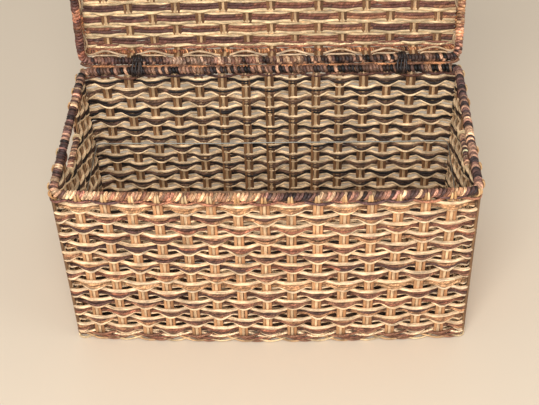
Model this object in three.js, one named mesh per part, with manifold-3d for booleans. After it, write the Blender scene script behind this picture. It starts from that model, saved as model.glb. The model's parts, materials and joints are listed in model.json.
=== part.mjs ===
// A woven storage trunk with its lid open: stakes of flat cane, walls of twisted leaf and
// rattan woven round them, a rope-wrapped rim on the box and on the lid, and two pairs of
// lashings as hinges. Millimetres, +Z up. The origin is the centre of the underside, and the
// front faces -Y. The lid is built shut, then turned open about a line between the rear ropes.
import * as THREE from "three";
import { mergeVertices } from "three/addons/utils/BufferGeometryUtils.js";
import Module from "manifold-3d";

// Driving dimensions
const WIDTH = 780; // over the rim ropes, left to right
const DEPTH = 395; // over the rim ropes, front to back
const BODY_HEIGHT = 390; // floor to the top of the body's rim rope
const ROPE_R = 8.5; // the wrapped rim rope
const CORE_R = 4; // the cane hoop inside the rope
const CORNER_R = 16; // the rope's centreline at a corner
const WALL = 12; // thickness of the weave
const BASE = 13; // thickness of the woven base
const GAP = 0.3; // between pieces that touch
const STAKE_PITCH = 48;
const STAKE_WIDTH = 18;
const STAKE_THICK = 4;
const CROSS_STAKES = 15; // front to back
const LONG_STAKES = 8; // end to end
const HAND_HALF = 56; // half the length of a hand-hold
const HAND_BAR_R = 6;
const HAND_BAR_Z = 316;
const WIRE_R = 1.5;
const WIRE_Z = 198;
const POST_R = 3;
const RIM_SPACING = 21.7; // between the two rims' ropes, centre to centre, when shut
const HINGE_BACK = 4.7; // the hinge line, behind and above the middle of the body's rear rope
const HINGE_UP = 13.5;
const LASH_X = 268; // the hinge lashings, either side of the middle
const LASH_WIDTH = 20;
const LASH_THICK = 1.8;
const LID_RISE = 36; // rim rope to the middle of the lid's panel
const LID_PANEL = 10;
const LID_ROD_R = 5;
const LID_RAIL = 10; // width of the rails that the lid's stakes are tied to
const LID_RAIL_THICK = 3;
const LID_OPEN_DEG = 98; // from shut

// Worked out from those
const ROPE_X = WIDTH / 2 - ROPE_R;
const ROPE_Y = DEPTH / 2 - ROPE_R;
const ROPE_Z = BODY_HEIGHT - ROPE_R;
const OUT_X = ROPE_X + WALL / 2;
const OUT_Y = ROPE_Y + WALL / 2;
const IN_X = ROPE_X - WALL / 2;
const IN_Y = ROPE_Y - WALL / 2;
const WALL_FOOT = BASE + GAP;
const WALL_TOP = ROPE_Z - ROPE_R - GAP;
const LONG_LAYER = 2.5; // underside of the lengthwise stakes in the base
const CROSS_LAYER = LONG_LAYER + STAKE_THICK + 0.4;
const LASH_SLOT = LASH_WIDTH / 2 + 1;

const finish = (color, roughness) => new THREE.MeshStandardMaterial({ color, roughness, metalness: 0 });
const WEAVE = finish(0xa5835d, 0.8);
const CANE = finish(0xb98a55, 0.65);
const ROPE = finish(0x5d4334, 0.75);
const ROD = finish(0x8a6a48, 0.7);
const LASHING = finish(0x2a2422, 0.5);
const WIRE = new THREE.MeshStandardMaterial({ color: 0x8d8f8a, roughness: 0.45, metalness: 0.6 });

const wasm = await Module();
wasm.setup();

// Cutting and joining closed meshes

function solid(geometry) {
  const bare = geometry.clone();
  bare.deleteAttribute("normal");
  bare.deleteAttribute("uv");
  const merged = mergeVertices(bare, 1e-4);
  return new wasm.Manifold(
    new wasm.Mesh({
      numProp: 3,
      vertProperties: new Float32Array(merged.attributes.position.array),
      triVerts: new Uint32Array(merged.index.array),
    }),
  );
}

function geometryOf(made) {
  const { vertProperties, triVerts } = made.getMesh();
  const geometry = new THREE.BufferGeometry();
  geometry.setAttribute("position", new THREE.BufferAttribute(new Float32Array(vertProperties), 3));
  geometry.setIndex(new THREE.BufferAttribute(new Uint32Array(triVerts), 1));
  return geometry;
}

function cut(geometry, tools) {
  const made = tools.reduce((left, tool) => left.subtract(solid(tool)), solid(geometry));
  return geometryOf(made);
}

function join(pieces) {
  const [first, ...rest] = pieces.map(solid);
  return geometryOf(rest.reduce((left, piece) => left.add(piece), first));
}

// Shapes

function block([x0, y0, z0], [x1, y1, z1]) {
  const box = new THREE.BoxGeometry(x1 - x0, y1 - y0, z1 - z0);
  return box.translate((x0 + x1) / 2, (y0 + y1) / 2, (z0 + z1) / 2);
}

function outline(points) {
  return new THREE.Shape(points.map(([x, y]) => new THREE.Vector2(x, y)));
}

function extrude(shape, depth) {
  return new THREE.ExtrudeGeometry(shape, { depth, bevelEnabled: false });
}

// Turns an outline drawn in (y, z) and extruded to run along +X.
const ALONG_X = new THREE.Matrix4().makeBasis(
  new THREE.Vector3(0, 1, 0), new THREE.Vector3(0, 0, 1), new THREE.Vector3(1, 0, 0));
// Turns an outline drawn in (x, z) and extruded to run along -Y.
const ALONG_Y = new THREE.Matrix4().makeBasis(
  new THREE.Vector3(1, 0, 0), new THREE.Vector3(0, 0, 1), new THREE.Vector3(0, -1, 0));

function circle(radius, sides, cx = 0, cy = 0) {
  return Array.from({ length: sides }, (_, i) => {
    const a = (2 * Math.PI * i) / sides;
    return new THREE.Vector2(cx + radius * Math.cos(a), cy + radius * Math.sin(a));
  });
}

function disc(radius, sides, hollow = 0) {
  const shape = new THREE.Shape(circle(radius, sides));
  if (hollow) shape.holes.push(new THREE.Path(circle(hollow, sides)));
  return shape;
}

// A route through given points, with one station of an extrusion at each point.
class Route extends THREE.Curve {
  constructor(points) {
    super();
    this.points = points;
  }

  getPoint(t) {
    const last = this.points.length - 1;
    const place = t * last;
    const i = Math.min(Math.floor(place), last - 1);
    return this.points[i].clone().lerp(this.points[i + 1], place - i);
  }

  getPointAt(u) {
    return this.getPoint(u);
  }

  direction(from, to) {
    return this.points[to].clone().sub(this.points[from]).normalize();
  }

  // At an end, the next station's tangent mirrored about the end segment, which is exact on an arc.
  getTangentAt(u) {
    const last = this.points.length - 1;
    const i = Math.round(u * last);
    if (i > 0 && i < last) return this.direction(i - 1, i + 1);
    const segment = i ? this.direction(last - 1, last) : this.direction(0, 1);
    const next = i ? this.direction(last - 2, last) : this.direction(0, 2);
    return segment.clone().multiplyScalar(2 * segment.dot(next)).sub(next);
  }
}

function tube(points, radius, sides, hollow = 0) {
  const settings = { steps: points.length - 1, extrudePath: new Route(points) };
  return new THREE.ExtrudeGeometry(disc(radius, sides, hollow), settings);
}

// The points of one rounded corner in plan, centred on (cx, cy), over a span of angles in degrees.
function corner(cx, cy, radius, from, to, z, steps) {
  return Array.from({ length: steps + 1 }, (_, i) => {
    const a = THREE.MathUtils.degToRad(from + ((to - from) * i) / steps);
    return new THREE.Vector3(cx + radius * Math.cos(a), cy + radius * Math.sin(a), z);
  });
}

// A hoop bent from one rod, butted with a small gap in the middle of its rear side.
function hoop(halfX, halfY, cornerR, radius, z, sides) {
  const cx = halfX - cornerR;
  const cy = halfY - cornerR;
  const points = [
    new THREE.Vector3(-GAP, halfY, z),
    ...corner(-cx, cy, cornerR, 90, 180, z, 4),
    ...corner(-cx, -cy, cornerR, 180, 270, z, 4),
    ...corner(cx, -cy, cornerR, 270, 360, z, 4),
    ...corner(cx, cy, cornerR, 0, 90, z, 4),
    new THREE.Vector3(GAP, halfY, z),
  ];
  return tube(points, radius, sides);
}

// The rope wrapping of one side of a rim: half a corner, the side, and half the next corner.
// It starts and ends short of the middle of the corners, so neighbours don't touch.
function rimSide(middle, z) {
  const cx = ROPE_X - CORNER_R;
  const cy = ROPE_Y - CORNER_R;
  const centre = { 0: [[cx, -cy], [cx, cy]], 90: [[cx, cy], [-cx, cy]],
    180: [[-cx, cy], [-cx, -cy]], 270: [[-cx, -cy], [cx, -cy]] }[middle];
  const short = 1.2; // degrees
  return tube([
    ...corner(...centre[0], CORNER_R, middle - 45 + short, middle, z, 2),
    ...corner(...centre[1], CORNER_R, middle, middle + 45 - short, z, 2),
  ], ROPE_R, 10, CORE_R + 2 * GAP);
}

const RIM_SIDES = { right: 0, back: 90, left: 180, front: 270 };

const trunk = new THREE.Group();
trunk.name = "wicker_storage_trunk";
const body = new THREE.Group();
const lid = new THREE.Group();
trunk.add(body, lid);

function piece(group, name, geometry, material) {
  const mesh = new THREE.Mesh(geometry, material);
  mesh.name = name;
  group.add(mesh);
  return mesh;
}

// Stakes: strips of cane bent into a U, up one wall, across the base and up the other wall.

const places = (count) => Array.from({ length: count }, (_, i) => (i - (count - 1) / 2) * STAKE_PITCH);

// The side view of a U whose legs stand on +/- half and whose run lies at a height.
function uOutline(half, underside, top, extra) {
  const outer = half + STAKE_THICK / 2 + extra;
  const inner = half - STAKE_THICK / 2 - extra;
  const low = underside - extra;
  const high = underside + STAKE_THICK + extra;
  const ease = 3;
  return outline([
    [-outer, top], [-outer, low + ease], [-outer + ease, low], [outer - ease, low], [outer, low + ease],
    [outer, top], [inner, top], [inner, high], [-inner, high], [-inner, top],
  ]);
}

function crossStake(x, extra = 0, top = WALL_TOP - GAP) {
  const width = STAKE_WIDTH + 2 * extra;
  return extrude(uOutline(ROPE_Y, CROSS_LAYER, top, extra), width)
    .applyMatrix4(ALONG_X).translate(x - width / 2, 0, 0);
}

const isCutShort = (y) => Math.abs(y) < HAND_HALF;
const barFoot = HAND_BAR_Z - HAND_BAR_R - GAP;

function longStake(y, extra = 0, top = isCutShort(y) ? barFoot - GAP : WALL_TOP - GAP) {
  const width = STAKE_WIDTH + 2 * extra;
  return extrude(uOutline(ROPE_X, LONG_LAYER, top, extra), width)
    .applyMatrix4(ALONG_Y).translate(0, y + width / 2, 0);
}

places(CROSS_STAKES).forEach((x, i) => piece(body, `cross_stake_${i + 1}`, crossStake(x), CANE));
places(LONG_STAKES).forEach((y, i) => piece(body, `long_stake_${i + 1}`, longStake(y), CANE));

// Base: a woven panel and a twined foot border along each side, with the stakes in channels.

const crossChannels = places(CROSS_STAKES).map((x) => crossStake(x, GAP, BASE + 5));
const longChannels = places(LONG_STAKES).map((y) => longStake(y, GAP, BASE + 5));

const basePanel = block([-IN_X + GAP, -IN_Y + GAP, 0], [IN_X - GAP, IN_Y - GAP, BASE]);
piece(body, "base_panel", cut(basePanel, [...crossChannels, ...longChannels]), WEAVE);

for (const [side, sign] of [["front", -1], ["back", 1]]) {
  const [near, far] = [sign * IN_Y, sign * OUT_Y].sort((a, b) => a - b);
  piece(body, `${side}_foot_border`, cut(block([-OUT_X, near, 0], [OUT_X, far, BASE]), crossChannels), WEAVE);
}
for (const [side, sign] of [["left", -1], ["right", 1]]) {
  const [near, far] = [sign * IN_X, sign * OUT_X].sort((a, b) => a - b);
  const strip = block([near, -IN_Y + GAP, 0], [far, IN_Y - GAP, BASE]);
  piece(body, `${side}_foot_border`, cut(strip, longChannels), WEAVE);
}

// Walls: the weave of each side, with an upright channel for each stake and corner post.

const across = STAKE_WIDTH / 2 + GAP;
const through = STAKE_THICK / 2 + GAP;
const [below, above] = [WALL_FOOT - 1, WALL_TOP + 1];

function longWall(y) {
  const slab = block([-OUT_X, y - WALL / 2, WALL_FOOT], [OUT_X, y + WALL / 2, WALL_TOP]);
  const channels = places(CROSS_STAKES).map((x) =>
    block([x - across, y - through, below], [x + across, y + through, above]));
  const postHoles = [-ROPE_X, ROPE_X].map((x) =>
    extrude(disc(POST_R + GAP, 8), above - below).translate(x, y, below));
  return { slab, cuts: [...channels, ...postHoles] };
}

function endWall(x) {
  const slab = block([x - WALL / 2, -IN_Y + GAP, WALL_FOOT], [x + WALL / 2, IN_Y - GAP, WALL_TOP]);
  const channels = places(LONG_STAKES).map((y) =>
    block([x - through, y - across, below], [x + through, y + across, above]));
  const handHold = block([x - WALL, -HAND_HALF, barFoot], [x + WALL, HAND_HALF, above]);
  return cut(slab, [...channels, handHold]);
}

const lashReach = ROPE_R + GAP + LASH_THICK + GAP;
const backSlots = [-LASH_X, LASH_X].map((x) =>
  block([x - LASH_SLOT, ROPE_Y - WALL, ROPE_Z - lashReach], [x + LASH_SLOT, ROPE_Y + WALL, ROPE_Z]));

const front = longWall(-ROPE_Y);
const back = longWall(ROPE_Y);
piece(body, "front_wall", cut(front.slab, front.cuts), WEAVE);
piece(body, "back_wall", cut(back.slab, [...back.cuts, ...backSlots]), WEAVE);
piece(body, "left_wall", endWall(-ROPE_X), WEAVE);
piece(body, "right_wall", endWall(ROPE_X), WEAVE);

for (const [name, x, y] of [["front_left", -1, -1], ["front_right", 1, -1], ["back_left", -1, 1], ["back_right", 1, 1]]) {
  const post = extrude(disc(POST_R, 8), WALL_TOP - WALL_FOOT - 2 * GAP).translate(0, 0, WALL_FOOT + GAP);
  piece(body, `${name}_corner_post`, post, ROD).position.set(x * ROPE_X, y * ROPE_Y, 0);
}

// Hand-holds, the inner wire and the rim

for (const [side, x] of [["left", -ROPE_X], ["right", ROPE_X]]) {
  const length = 2 * (HAND_HALF - GAP);
  const bar = extrude(disc(HAND_BAR_R, 12), length).applyMatrix4(ALONG_Y);
  piece(body, `${side}_hand_hold_bar`, bar, ROPE).position.set(x, length / 2, HAND_BAR_Z);
}

const wireInset = GAP + WIRE_R;
piece(body, "inner_frame_wire", hoop(IN_X - wireInset, IN_Y - wireInset, 4, WIRE_R, WIRE_Z, 4), WIRE);

function rim(group, prefix, z) {
  piece(group, `${prefix}_rim_core`, hoop(ROPE_X, ROPE_Y, CORNER_R, CORE_R, z, 6), ROD);
  for (const [side, middle] of Object.entries(RIM_SIDES))
    piece(group, `${prefix}_rim_rope_${side}`, rimSide(middle, z), ROPE);
}

rim(body, "body", ROPE_Z);

// Hinge lashings: on each side, a ring wound round the body's rear rope and one round the lid's.

function lashings(group, prefix, z) {
  for (const [side, x] of [["left", -LASH_X], ["right", LASH_X]]) {
    const ring = extrude(disc(ROPE_R + GAP + LASH_THICK, 16, ROPE_R + GAP), LASH_WIDTH).applyMatrix4(ALONG_X);
    piece(group, `${prefix}_${side}_lashing`, ring, LASHING).position.set(x - LASH_WIDTH / 2, ROPE_Y, z);
  }
}

lashings(body, "body", ROPE_Z);

// Lid: a shallow tray, shown here as shut, with its rope ring at z = 0 about the trunk's middle.

const lidWallFoot = ROPE_R + GAP;
const lidWallTop = LID_RISE - LID_ROD_R - GAP;
const panelX = ROPE_X - LID_ROD_R - GAP;
const panelY = ROPE_Y - LID_ROD_R - GAP;
const panelFoot = LID_RISE - LID_PANEL / 2;

// The panel's stakes run front to back, tied to a rail at each end.
function lidStakes(extra) {
  const thick = STAKE_THICK / 2 + extra;
  const half = STAKE_WIDTH / 2 + extra;
  const [low, high] = [LID_RISE - thick, LID_RISE + thick];
  const endY = extra ? panelY + 1 : panelY - GAP;
  const stakes = places(CROSS_STAKES).map((x) => block([x - half, -endY, low], [x + half, endY, high]));
  const endStake = ((CROSS_STAKES - 1) / 2) * STAKE_PITCH + half;
  const rails = [-1, 1].map((side) => {
    const [near, far] = [side * (panelY - LID_RAIL) - extra, side * (panelY - LID_RAIL) + extra];
    const thin = LID_RAIL_THICK / 2 + extra;
    return block([-endStake, near - LID_RAIL / 2, LID_RISE - thin], [endStake, far + LID_RAIL / 2, LID_RISE + thin]);
  });
  return [...stakes, ...rails];
}

// The panel's corners follow the inside of the frame rod.
const panelCorner = CORNER_R - LID_ROD_R - GAP;
const [bendX, bendY] = [panelX - panelCorner, panelY - panelCorner];
const panelPlan = new THREE.Shape([
  ...corner(bendX, bendY, panelCorner, 0, 90, 0, 4),
  ...corner(-bendX, bendY, panelCorner, 90, 180, 0, 4),
  ...corner(-bendX, -bendY, panelCorner, 180, 270, 0, 4),
  ...corner(bendX, -bendY, panelCorner, 270, 360, 0, 4),
].map(({ x, y }) => new THREE.Vector2(x, y)));
const panelSlab = extrude(panelPlan, LID_PANEL).translate(0, 0, panelFoot);
piece(lid, "lid_panel", cut(panelSlab, lidStakes(GAP)), WEAVE);
piece(lid, "lid_stakes", join(lidStakes(0)), CANE);
piece(lid, "lid_frame_rod", hoop(ROPE_X, ROPE_Y, CORNER_R, LID_ROD_R, LID_RISE, 6), ROD);

const lidSlots = [-LASH_X, LASH_X].map((x) =>
  block([x - LASH_SLOT, ROPE_Y - WALL, 0], [x + LASH_SLOT, ROPE_Y + WALL, lashReach]));
const lidEnd = OUT_X - CORNER_R / 2;
const lidRun = (y) => block([-lidEnd, y - WALL / 2, lidWallFoot], [lidEnd, y + WALL / 2, lidWallTop]);
piece(lid, "lid_front_wall", lidRun(-ROPE_Y), WEAVE);
piece(lid, "lid_back_wall", cut(lidRun(ROPE_Y), lidSlots), WEAVE);
for (const [side, x] of [["left", -ROPE_X], ["right", ROPE_X]]) {
  const end = IN_Y - GAP;
  const wall = block([x - WALL / 2, -end, lidWallFoot], [x + WALL / 2, end, lidWallTop]);
  piece(lid, `lid_${side}_wall`, wall, WEAVE);
}
rim(lid, "lid", 0);
lashings(lid, "lid", 0);

// The hinge: turn the whole lid open about the hinge line.
for (const part of lid.children) {
  part.position.y -= ROPE_Y + HINGE_BACK;
  part.position.z += RIM_SPACING - HINGE_UP;
}
lid.position.set(0, ROPE_Y + HINGE_BACK, ROPE_Z + HINGE_UP);
lid.rotation.x = -THREE.MathUtils.degToRad(LID_OPEN_DEG);

export default trunk;
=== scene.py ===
"""A woven storage trunk with its lid open: twisted leaf and split rattan woven round stakes of flat
cane, wound rims on the box and the lid, wound hand-holds and two pairs of lashings as hinges."""

import json
import math

import bmesh
import bpy
import numpy as np
from mathutils import Matrix, Vector


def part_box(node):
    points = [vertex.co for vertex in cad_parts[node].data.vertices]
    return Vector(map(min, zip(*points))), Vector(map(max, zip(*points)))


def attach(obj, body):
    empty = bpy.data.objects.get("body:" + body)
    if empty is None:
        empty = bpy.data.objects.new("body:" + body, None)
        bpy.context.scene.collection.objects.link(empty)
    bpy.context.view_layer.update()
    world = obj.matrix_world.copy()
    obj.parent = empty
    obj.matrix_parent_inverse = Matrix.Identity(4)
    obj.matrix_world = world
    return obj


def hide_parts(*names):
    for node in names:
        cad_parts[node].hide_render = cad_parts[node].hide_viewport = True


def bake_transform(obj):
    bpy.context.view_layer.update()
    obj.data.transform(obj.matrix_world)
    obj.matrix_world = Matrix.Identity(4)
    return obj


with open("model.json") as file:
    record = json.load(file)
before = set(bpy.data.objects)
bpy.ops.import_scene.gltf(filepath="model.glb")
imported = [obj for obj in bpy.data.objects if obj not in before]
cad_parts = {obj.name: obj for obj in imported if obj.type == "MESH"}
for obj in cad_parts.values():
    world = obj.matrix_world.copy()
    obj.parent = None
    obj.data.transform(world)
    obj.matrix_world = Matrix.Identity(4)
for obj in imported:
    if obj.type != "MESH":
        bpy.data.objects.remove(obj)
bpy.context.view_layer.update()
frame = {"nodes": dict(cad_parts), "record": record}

bl_info = {
    "name": "Woven storage trunk",
    "version": (1, 0, 0),
    "blender": (4, 5, 0),
    "location": "View3D > Sidebar > Trunk",
    "description": "Builds the weave, rims, hand-holds and lashings of a storage trunk round its CAD frame",
    "category": "Add Mesh",
}

MM = 0.001
UP = (0, 0, 1)
SIDES = ("front", "right", "back", "left")

# Sizes read from the frame, and after them the lid's spacing, rise and shift, which are given

ROPE_R = float(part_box("body_rim_rope_front")[1][2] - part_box("body_rim_rope_front")[0][2]) / 2
RIM_Z = float(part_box("body_rim_rope_front")[1][2]) - ROPE_R
HALF_X = float(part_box("body_rim_rope_right")[1][0]) - ROPE_R
HALF_Y = -float(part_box("body_rim_rope_front")[0][1]) - ROPE_R
STAKE_PITCH = float(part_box("cross_stake_2")[0][0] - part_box("cross_stake_1")[0][0])
CROSS_STAKES = sum(name.startswith("cross_stake_") for name in frame["nodes"])
LONG_STAKES = sum(name.startswith("long_stake_") for name in frame["nodes"])
BAR_LOW, BAR_HIGH = (np.array(corner, float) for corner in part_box("left_hand_hold_bar"))
HAND_HALF = float(BAR_HIGH[1])
BAR_Z = float(BAR_LOW[2] + BAR_HIGH[2]) / 2
WIRE_Z = float(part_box("inner_frame_wire")[0][2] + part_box("inner_frame_wire")[1][2]) / 2
BASE_TOP = float(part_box("base_panel")[1][2])
LASH_X = float(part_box("body_right_lashing")[0][0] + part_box("body_right_lashing")[1][0]) / 2
LASH_HALF = float(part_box("body_right_lashing")[1][0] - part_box("body_right_lashing")[0][0]) / 2
HINGE = next(joint for joint in frame["record"]["behaviour"]["joints"] if joint["name"] == "lid_hinge")
HINGE_POS = np.array(HINGE["pos_m"], float)
LID_OPEN = math.radians(max(abs(limit) for limit in HINGE["range_deg"]))
RIM_SPACING = 21.7 * MM  # between the two rims when shut
LID_RIM_Z = RIM_Z + RIM_SPACING
LID_RISE = 36 * MM  # from the lid's rope to its panel, square to the panel
LID_SHIFT = 5.5 * MM  # of the lid's canes to the right of the body's


def tone(red, green, blue):
    """A colour as the eye reads it, 0 to 255, in the linear values that the shaders take."""
    levels = np.array([red, green, blue]) / 255
    return np.where(levels <= 0.04045, levels / 12.92, ((levels + 0.055) / 1.055) ** 2.4)


# Maths for paths

def ease(edge_0, edge_1, x):
    t = np.clip((x - edge_0) / (edge_1 - edge_0), 0, 1)
    return t * t * (3 - 2 * t)


def wander(rng, places, step):
    """Smooth random values from -1 to 1 along places, changing over about one step."""
    start = places.min()
    count = int((places.max() - start) / step) + 3
    knots = rng.uniform(-1, 1, count)
    at = (places - start) / step
    index = at.astype(int)
    part = ease(0, 1, at - index)
    return knots[index] * (1 - part) + knots[index + 1] * part


class Ring:
    """A rounded rectangle in plan that the weave and the rims follow, with bowed long sides."""

    def __init__(self, half_x, half_y, corner, bow_front, bow_back):
        self.half_x, self.half_y, self.corner = half_x, half_y, corner
        self.bow_front, self.bow_back = bow_front, bow_back
        self.run_x, self.run_y = 2 * (half_x - corner), 2 * (half_y - corner)
        self.arc = corner * math.pi / 2
        self.length = 2 * (self.run_x + self.run_y) + 4 * self.arc

    def place(self, s):
        """Plan points and outward normals at distances from the middle of the front left corner,
        going round anticlockwise as seen from above: front, right, back, left."""
        s = np.mod(np.asarray(s, float) + self.arc / 2, self.length)
        points = np.zeros((len(s), 2))
        normals = np.zeros((len(s), 2))
        cx, cy, r = self.half_x - self.corner, self.half_y - self.corner, self.corner
        spans = (("arc", -cx, -cy, 180), ("run", -cx, -cy, 0), ("arc", cx, -cy, 270), ("run", cx, -cy, 90),
                 ("arc", cx, cy, 0), ("run", cx, cy, 180), ("arc", -cx, cy, 90), ("run", -cx, cy, 270))
        begin = 0.0
        for index, (kind, x, y, degrees) in enumerate(spans):
            long = self.arc if kind == "arc" else (self.run_x, self.run_y)[index // 2 % 2]
            inside = (s >= begin - 1e-9) & (s < begin + long)
            along = s[inside] - begin
            if kind == "arc":
                angle = math.radians(degrees) + along / max(r, 1e-9)
                outward = np.c_[np.cos(angle), np.sin(angle)]
                points[inside] = np.array([x, y]) + r * outward
            else:
                heading = math.radians(degrees)
                ahead = np.array([math.cos(heading), math.sin(heading)])
                outward = np.tile([ahead[1], -ahead[0]], (len(along), 1))
                points[inside] = np.array([x, y]) + r * outward + along[:, None] * ahead
            normals[inside] = outward
            begin += long
        fall = 1 - np.clip(points[:, 0] / self.half_x, -1, 1) ** 2
        points[:, 1] += np.where(points[:, 1] < 0, -self.bow_front, self.bow_back) * fall * (
            np.abs(points[:, 1]) / self.half_y) ** 4
        return points, normals

    def corner_at(self, index):
        """Distance of the middle of a corner, from the front left one round."""
        long_runs, short_runs = (index + 1) // 2, index // 2
        return long_runs * self.run_x + short_runs * self.run_y + index * self.arc

    def stakes(self):
        """Distances of the corner posts and stakes in order, with the first corner again at the end."""
        found = []
        for side in range(4):
            begin, end = self.corner_at(side), self.corner_at(side + 1)
            middle, count = (begin + end) / 2, (CROSS_STAKES, LONG_STAKES)[side % 2]
            found.append(begin)
            found += [middle + (i - (count - 1) / 2) * STAKE_PITCH for i in range(count)]
        return np.array(found + [self.length])


# Strands and the meshes made of them

PLAIN_FLECKS = 0.3  # of the flecks of a twisted strand, on one that isn't twisted


class Strand:
    """One strand: its centre line, radii, colours on the side that faces outwards and the other, the
    turn of its grain in radians for each metre, and its depth as a share of its width."""

    def __init__(self, centre, radius, outer, inner=None, outward=None, twist=0.0, flat=1.0):
        self.centre = np.asarray(centre, float)
        count = len(self.centre)
        self.radius = np.broadcast_to(np.asarray(radius, float), (count,)).copy()
        self.outer = np.broadcast_to(np.asarray(outer, float), (count, 3))
        self.inner = self.outer if inner is None else np.broadcast_to(np.asarray(inner, float), (count, 3))
        given = np.array([0.0, 0, 1]) if outward is None else np.asarray(outward, float)
        self.outward = np.broadcast_to(given, (count, 3))
        self.twist, self.flat = twist, flat

    def part(self, rows=slice(None), shift=(0, 0, 0)):
        """A copy of some of its stations, shifted by (x, y, z) or by one such row for each station."""
        return Strand(self.centre[rows] + shift, self.radius[rows], self.outer[rows], self.inner[rows],
                      self.outward[rows], self.twist, self.flat)

    def blunt(self, length=2.0):
        """Rounds both ends off over a length given in radii."""
        steps = np.linalg.norm(np.diff(self.centre, axis=0), axis=1)
        along = np.r_[0, np.cumsum(steps)]
        reach = np.maximum(self.radius * length, 1e-6)
        near = np.clip(np.minimum(along, along[-1] - along) / reach, 0, 1)
        self.radius = self.radius * np.sqrt(np.clip(0.12 + 0.88 * near, 0, 1))
        return self


def write_attribute(mesh, name, kind, values):
    field = {"FLOAT_COLOR": "color", "FLOAT_VECTOR": "vector"}[kind]
    layer = mesh.attributes.new(name, kind, "POINT")
    layer.data.foreach_set(field, np.ascontiguousarray(values, np.float32).ravel())


def bundle(name, strands, ring_sides, material, body, nodes=(), seed=1):
    """One piece made of round strands, with their colours and grain kept on its points."""
    curve = bpy.data.curves.new(name, "CURVE")
    curve.dimensions = "3D"
    curve.bevel_depth = 1.0
    curve.bevel_resolution = (ring_sides - 4) // 2
    curve.resolution_u = 1
    for strand in strands:
        count = len(strand.centre)
        spline = curve.splines.new("POLY")
        spline.points.add(count - 1)
        spline.points.foreach_set("co", np.c_[strand.centre, np.ones(count)].astype(np.float32).ravel())
        spline.points.foreach_set("radius", strand.radius.astype(np.float32))
    drawn = bpy.data.objects.new(name + "_lines", curve)
    bpy.context.collection.objects.link(drawn)
    mesh = bpy.data.meshes.new_from_object(drawn.evaluated_get(bpy.context.evaluated_depsgraph_get()))
    bpy.data.objects.remove(drawn)
    mesh.name = name
    if len(mesh.vertices) != ring_sides * sum(len(strand.centre) for strand in strands):
        raise RuntimeError(name + ": the strands did not keep one ring for each station")

    points = np.empty(len(mesh.vertices) * 3, np.float32)
    mesh.vertices.foreach_get("co", points)
    points = points.reshape(-1, ring_sides, 3).astype(float)
    tints = np.ones((len(points), ring_sides, 4))
    grain = np.zeros((len(points), ring_sides, 3))
    rng = np.random.default_rng(seed)
    first = 0
    for strand in strands:
        rows = slice(first, first + len(strand.centre))
        first += len(strand.centre)
        offset = points[rows] - strand.centre[:, None]
        reach = np.maximum(np.linalg.norm(offset, axis=2), 1e-9)
        facing = (offset * strand.outward[:, None]).sum(2) / reach
        # The inner tint, mostly darker than the outer one, is painted shade on the side turned inwards.
        share = ease(-0.35, 0.45, facing)[..., None]
        tints[rows, :, :3] = strand.outer[:, None] * share + strand.inner[:, None] * (1 - share)
        tints[rows, :, 3] = 1.0 if strand.twist else PLAIN_FLECKS
        along = np.r_[0, np.cumsum(np.linalg.norm(np.diff(strand.centre, axis=0), axis=1))]
        turn = 2 * math.pi * np.arange(ring_sides) / ring_sides + strand.twist * along[:, None]
        size = np.mean(strand.radius)
        grain[rows, :, 0] = along[:, None] + rng.uniform(0, 40)
        grain[rows, :, 1] = size * np.cos(turn)
        grain[rows, :, 2] = size * np.sin(turn)
        if strand.flat != 1.0:
            depth = (offset * strand.outward[:, None]).sum(2)[..., None]
            points[rows] -= strand.outward[:, None] * depth * (1 - strand.flat)
    mesh.vertices.foreach_set("co", points.astype(np.float32).ravel())
    write_attribute(mesh, "tint", "FLOAT_COLOR", tints)
    write_attribute(mesh, "grain", "FLOAT_VECTOR", grain)

    shell = bmesh.new()
    shell.from_mesh(mesh)
    bmesh.ops.holes_fill(shell, edges=[edge for edge in shell.edges if edge.is_boundary], sides=0)
    bmesh.ops.recalc_face_normals(shell, faces=shell.faces)
    shell.to_mesh(mesh)
    shell.free()
    mesh.polygons.foreach_set("use_smooth", np.ones(len(mesh.polygons), bool))
    mesh.materials.clear()
    mesh.materials.append(material)
    mesh.update()
    piece = bpy.data.objects.new(name, mesh)
    bpy.context.collection.objects.link(piece)
    if body:
        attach(piece, body)
    if nodes:
        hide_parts(*nodes)
    return piece


# Materials

class Value:
    """A socket that can be used in a sum."""

    def __init__(self, finish, socket):
        self.finish, self.socket = finish, socket

    def _with(self, other, operation, swapped=False):
        pair = (other, self) if swapped else (self, other)
        return self.finish.node("ShaderNodeMath", {"operation": operation}, {0: pair[0], 1: pair[1]})

    def __add__(self, other):
        return self._with(other, "ADD")

    def __radd__(self, other):
        return self._with(other, "ADD", True)

    def __sub__(self, other):
        return self._with(other, "SUBTRACT")

    def __rsub__(self, other):
        return self._with(other, "SUBTRACT", True)

    def __mul__(self, other):
        return self._with(other, "MULTIPLY")

    def __rmul__(self, other):
        return self._with(other, "MULTIPLY", True)


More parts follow.
